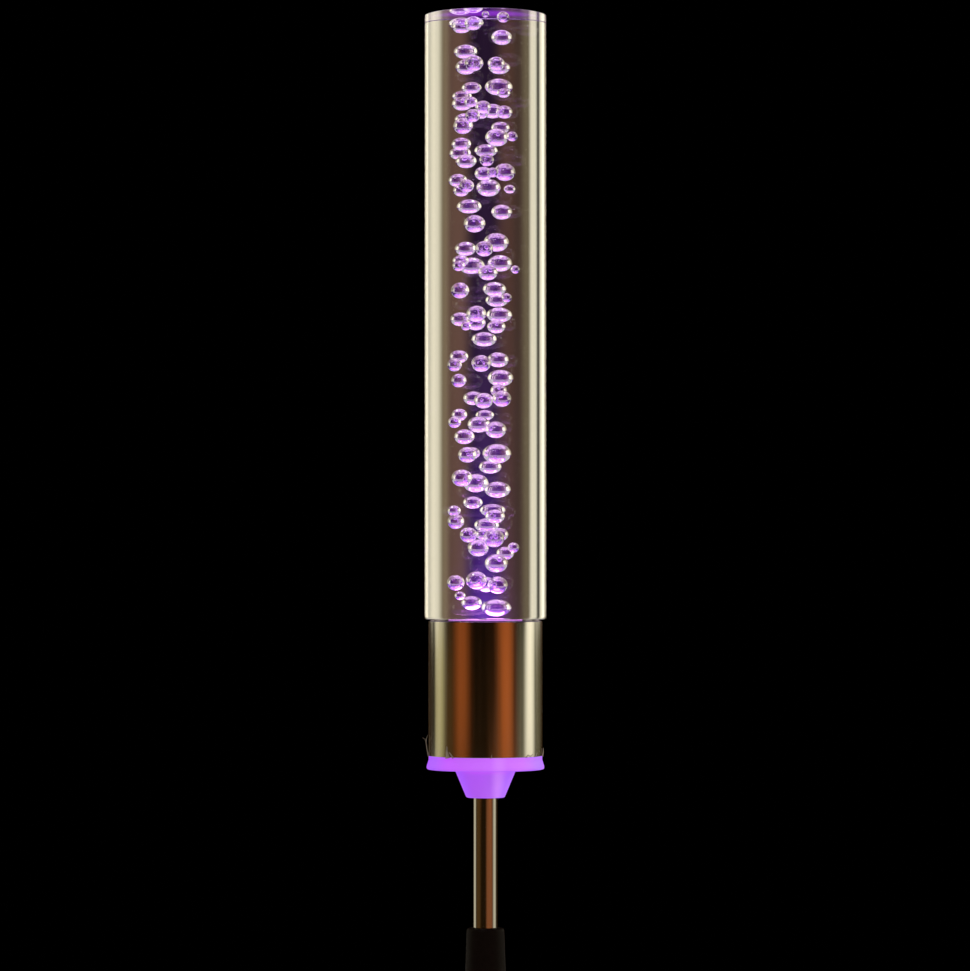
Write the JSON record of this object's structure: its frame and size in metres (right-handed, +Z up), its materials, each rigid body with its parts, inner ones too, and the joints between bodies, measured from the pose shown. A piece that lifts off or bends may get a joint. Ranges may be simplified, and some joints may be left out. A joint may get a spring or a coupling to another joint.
{
  "type": "solar stake light",
  "caption": "Clear bubble rod lit by a colour LED in a steel collar, on a slim pole that pushes into a ground spike; fed by a cord at the spike.",
  "frame": {"origin": "on the light's upright axis at the soil line, which is the underside of the spike's stop disc", "axes": "+Z up along the pole and rod; +Y to the back, the way the cord leaves; -Y towards the camera of the picture"},
  "size_m": [0.03, 0.03, 0.3748],
  "materials": {
    "spike_plastic": "moulded black plastic, satin",
    "grommet_rubber": "soft black rubber",
    "pole_steel": "polished stainless tube",
    "collar_steel": "stainless, brushed lengthwise to a shine",
    "cap_plastic": "translucent white plastic, lit purple from inside",
    "clear_adhesive": "clear adhesive",
    "window_plastic": "diffusing plastic, lit purple",
    "reflector_plastic": "white plastic",
    "board": "white solder mask",
    "led_epoxy": "clear epoxy",
    "tinned_metal": "tinned",
    "chip_ceramic": "dark glaze with tinned ends",
    "wire_red": "smooth insulation",
    "wire_black": "smooth insulation",
    "shrink_sleeve": "shrink tubing",
    "acrylic": "clear polished acrylic with bubbles inside"
  },
  "bodies": {
    "spike": {"ground_spike": "spike_plastic", "cable_grommet": "grommet_rubber"},
    "light": {"pole": "pole_steel", "base_cap": "cap_plastic", "cap_adhesive": "clear_adhesive", "collar": "collar_steel", "light_window": "window_plastic", "reflector_tube": "reflector_plastic", "led_board": "board", "led_lens": "led_epoxy", "led_leads": "tinned_metal", "solder_joints": "tinned_metal", "resistor": "chip_ceramic", "wire_red": "wire_red", "wire_black": "wire_black", "wire_splice": "shrink_sleeve", "bond_ring": "clear_adhesive", "bubble_rod": "acrylic"}
  },
  "joints": [
    {"name": "pole_slide", "type": "slide", "parent": "spike", "child": "light", "axis": [0, 0, 1], "range_m": [0, 0.026]}
  ]
}
